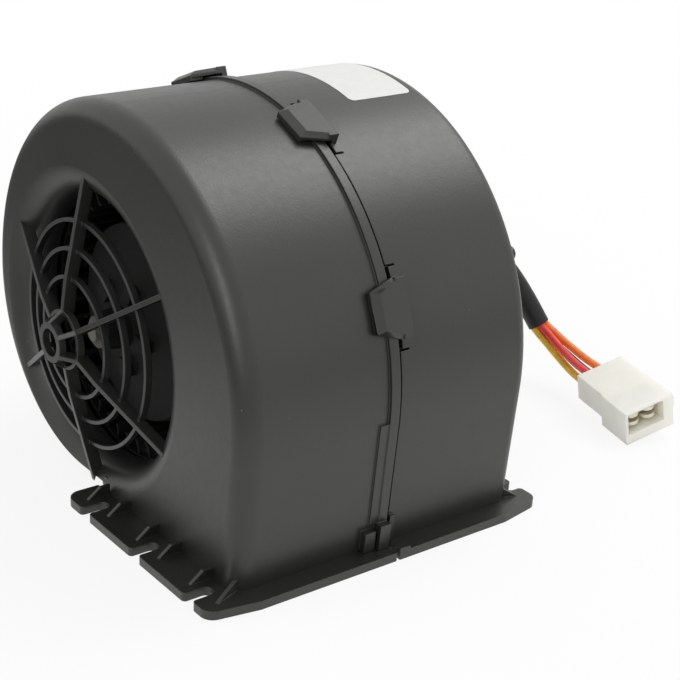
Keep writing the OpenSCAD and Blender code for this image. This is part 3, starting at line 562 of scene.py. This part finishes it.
wheel_axis_z = 57.5
screw_circle = 41.5
screw_angles = (30, 150, 270)
screw_sides = 96
screw_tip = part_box("motor_screws")[0][0] / MM
shank_r = 1.5
point_r = shank_r * 0.6
point_l = 1.2
head_r = 3.4
head_back = 58.5
head_rim = 59.7
head_top = 60.9
head_steps = 30
recess_deep = 1.3
recess_arm = 1.75
recess_half = 0.42


def head_level(u, v):
    """Height of the screw head over a point of it: a low dome with a cross recess."""
    out = math.sqrt(max(0, 1 - (u * u + v * v) / head_r ** 2))
    dome = head_rim + (head_top - head_rim) * out
    across, along = sorted((abs(u), abs(v)))
    if across >= recess_half or along >= recess_arm:
        return dome
    return dome - recess_deep * max(0, 1 - (along / recess_arm) ** 4)


# Place along the screw and radius of each ring, up to the head's back edge, then radii of its top
shank_rings = [
    (screw_tip, point_r), (screw_tip + point_l, shank_r), (head_back, shank_r), (head_back, head_r),
]
top_rings = [(None, head_r * (1 - i / head_steps)) for i in range(head_steps)]
screw_mesh = bmesh.new()
for angle in screw_angles:
    centre_y = screw_circle * math.cos(math.radians(angle))
    centre_z = wheel_axis_z + screw_circle * math.sin(math.radians(angle))
    rings = []
    for x, r in shank_rings + top_rings:
        ring = []
        for k in range(screw_sides):
            turn = 2 * math.pi * k / screw_sides
            u, v = r * math.cos(turn), r * math.sin(turn)
            level = head_level(u, v) if x is None else x
            ring.append(screw_mesh.verts.new(Vector((level, centre_y + u, centre_z + v)) * MM))
        rings.append(ring)
    join_rings(screw_mesh, rings)
screws = mesh_piece("screws", screw_mesh, zinc_screw, crisp_from=30)
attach(screws, "housing")
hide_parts("motor_screws")

# Speed resistor
# Bare wire coils and a small thermal fuse on a paper laminate board. The board stands on a pad of
# the motor carrier, in the air that the wheel draws in.
finish_node("resistor_board", laminate)
finish_node("thermal_fuse", moulded("fuse_body", (0.55, 0.47, 0.3), roughness=0.5, grain=1500))

board_back = 52
board_front = 53.6
wire_z = 98
coil_x = 49.6
coil_wire = 0.8
coil_r = 2.2 - coil_wire / 2
coil_spans = ((-12, -1), (1, 12))
coil_turns = 9
turn_steps = 16
fuse_wire = 0.7
fuse_x = 55.4
fuse_half = 5
fuse_reach = 8
leg_sunk = 0.5
leg_round = 0.8
# Place in front of the board and along it, from inside the fuse's end to inside the board
leg_bend = [
    (fuse_x, fuse_half - leg_sunk), (fuse_x, fuse_reach - leg_round),
    (fuse_x - 0.25, fuse_reach - 0.2),
    (fuse_x - leg_round, fuse_reach), (board_front - leg_sunk, fuse_reach),
]


def bent_wire(name, diameter, routes, material):
    """Round wire with one run of straight steps for each route, in millimetres."""
    wire = round_curve(name, diameter * MM, facets=3, material=material)
    for route in routes:
        run = wire.data.splines.new("POLY")
        run.points.add(len(route) - 1)
        for point, spot in zip(run.points, route):
            point.co = (*(Vector(spot) * MM), 1)
    return wire


def wound(low_y, high_y):
    """The route of one coil, from the board round its turns and back to the board."""
    start, end = low_y + coil_wire / 2, high_y - coil_wire / 2
    steps = coil_turns * turn_steps
    in_board = board_back + 0.4
    route = [(in_board, start, wire_z)]
    for i in range(steps + 1):
        turn = 2 * math.pi * i / turn_steps
        x, z = coil_x + coil_r * math.cos(turn), wire_z + coil_r * math.sin(turn)
        route.append((x, start + (end - start) * i / steps, z))
    return route + [(in_board, end, wire_z)]


resistance_wire = bare_metal("resistance_wire", (0.4, 0.38, 0.34), roughness=0.42)
coils = bent_wire("coils", coil_wire, [wound(*span) for span in coil_spans], resistance_wire)
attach(coils, "housing")
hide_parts("resistor_coils")
tinned_wire = bare_metal("tinned_wire", (0.6, 0.6, 0.58), roughness=0.35)
leg_routes = [[(x, side * y, wire_z) for x, y in leg_bend] for side in (-1, 1)]
legs = bent_wire("fuse_legs", fuse_wire, leg_routes, tinned_wire)
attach(legs, "housing")

# Connector
# A four-way housing moulded in natural nylon, milky and slightly see-through, with its mouth open
# to the front. The tinned brass tabs are crimped on the leads and snapped in from the back.
nylon_white = (0.87, 0.855, 0.775)
nylon_shades = (0.855, 0.84, 0.755), (0.885, 0.87, 0.795)
nylon, tree, surface, place = shader("natural_nylon", nylon_white, roughness=0.36)
vary_colour(tree, surface, speckle(tree, place, scale=180), *nylon_shades)
surface.inputs["IOR"].default_value = 1.53
surface.inputs["Subsurface Weight"].default_value = 0.55
surface.inputs["Subsurface Radius"].default_value = (0.0032, 0.0032, 0.003)
surface.inputs["Subsurface Scale"].default_value = 1.0
skin = relief(tree, surface, speckle(tree, place, scale=1500, detail=2), depth=0.000008)
soften_edges(tree, skin, radius=0.0006)
finish_node("connector_housing", nylon)
finish_node("tab_terminals", bare_metal("tinned_brass", (0.74, 0.7, 0.58), roughness=0.64))
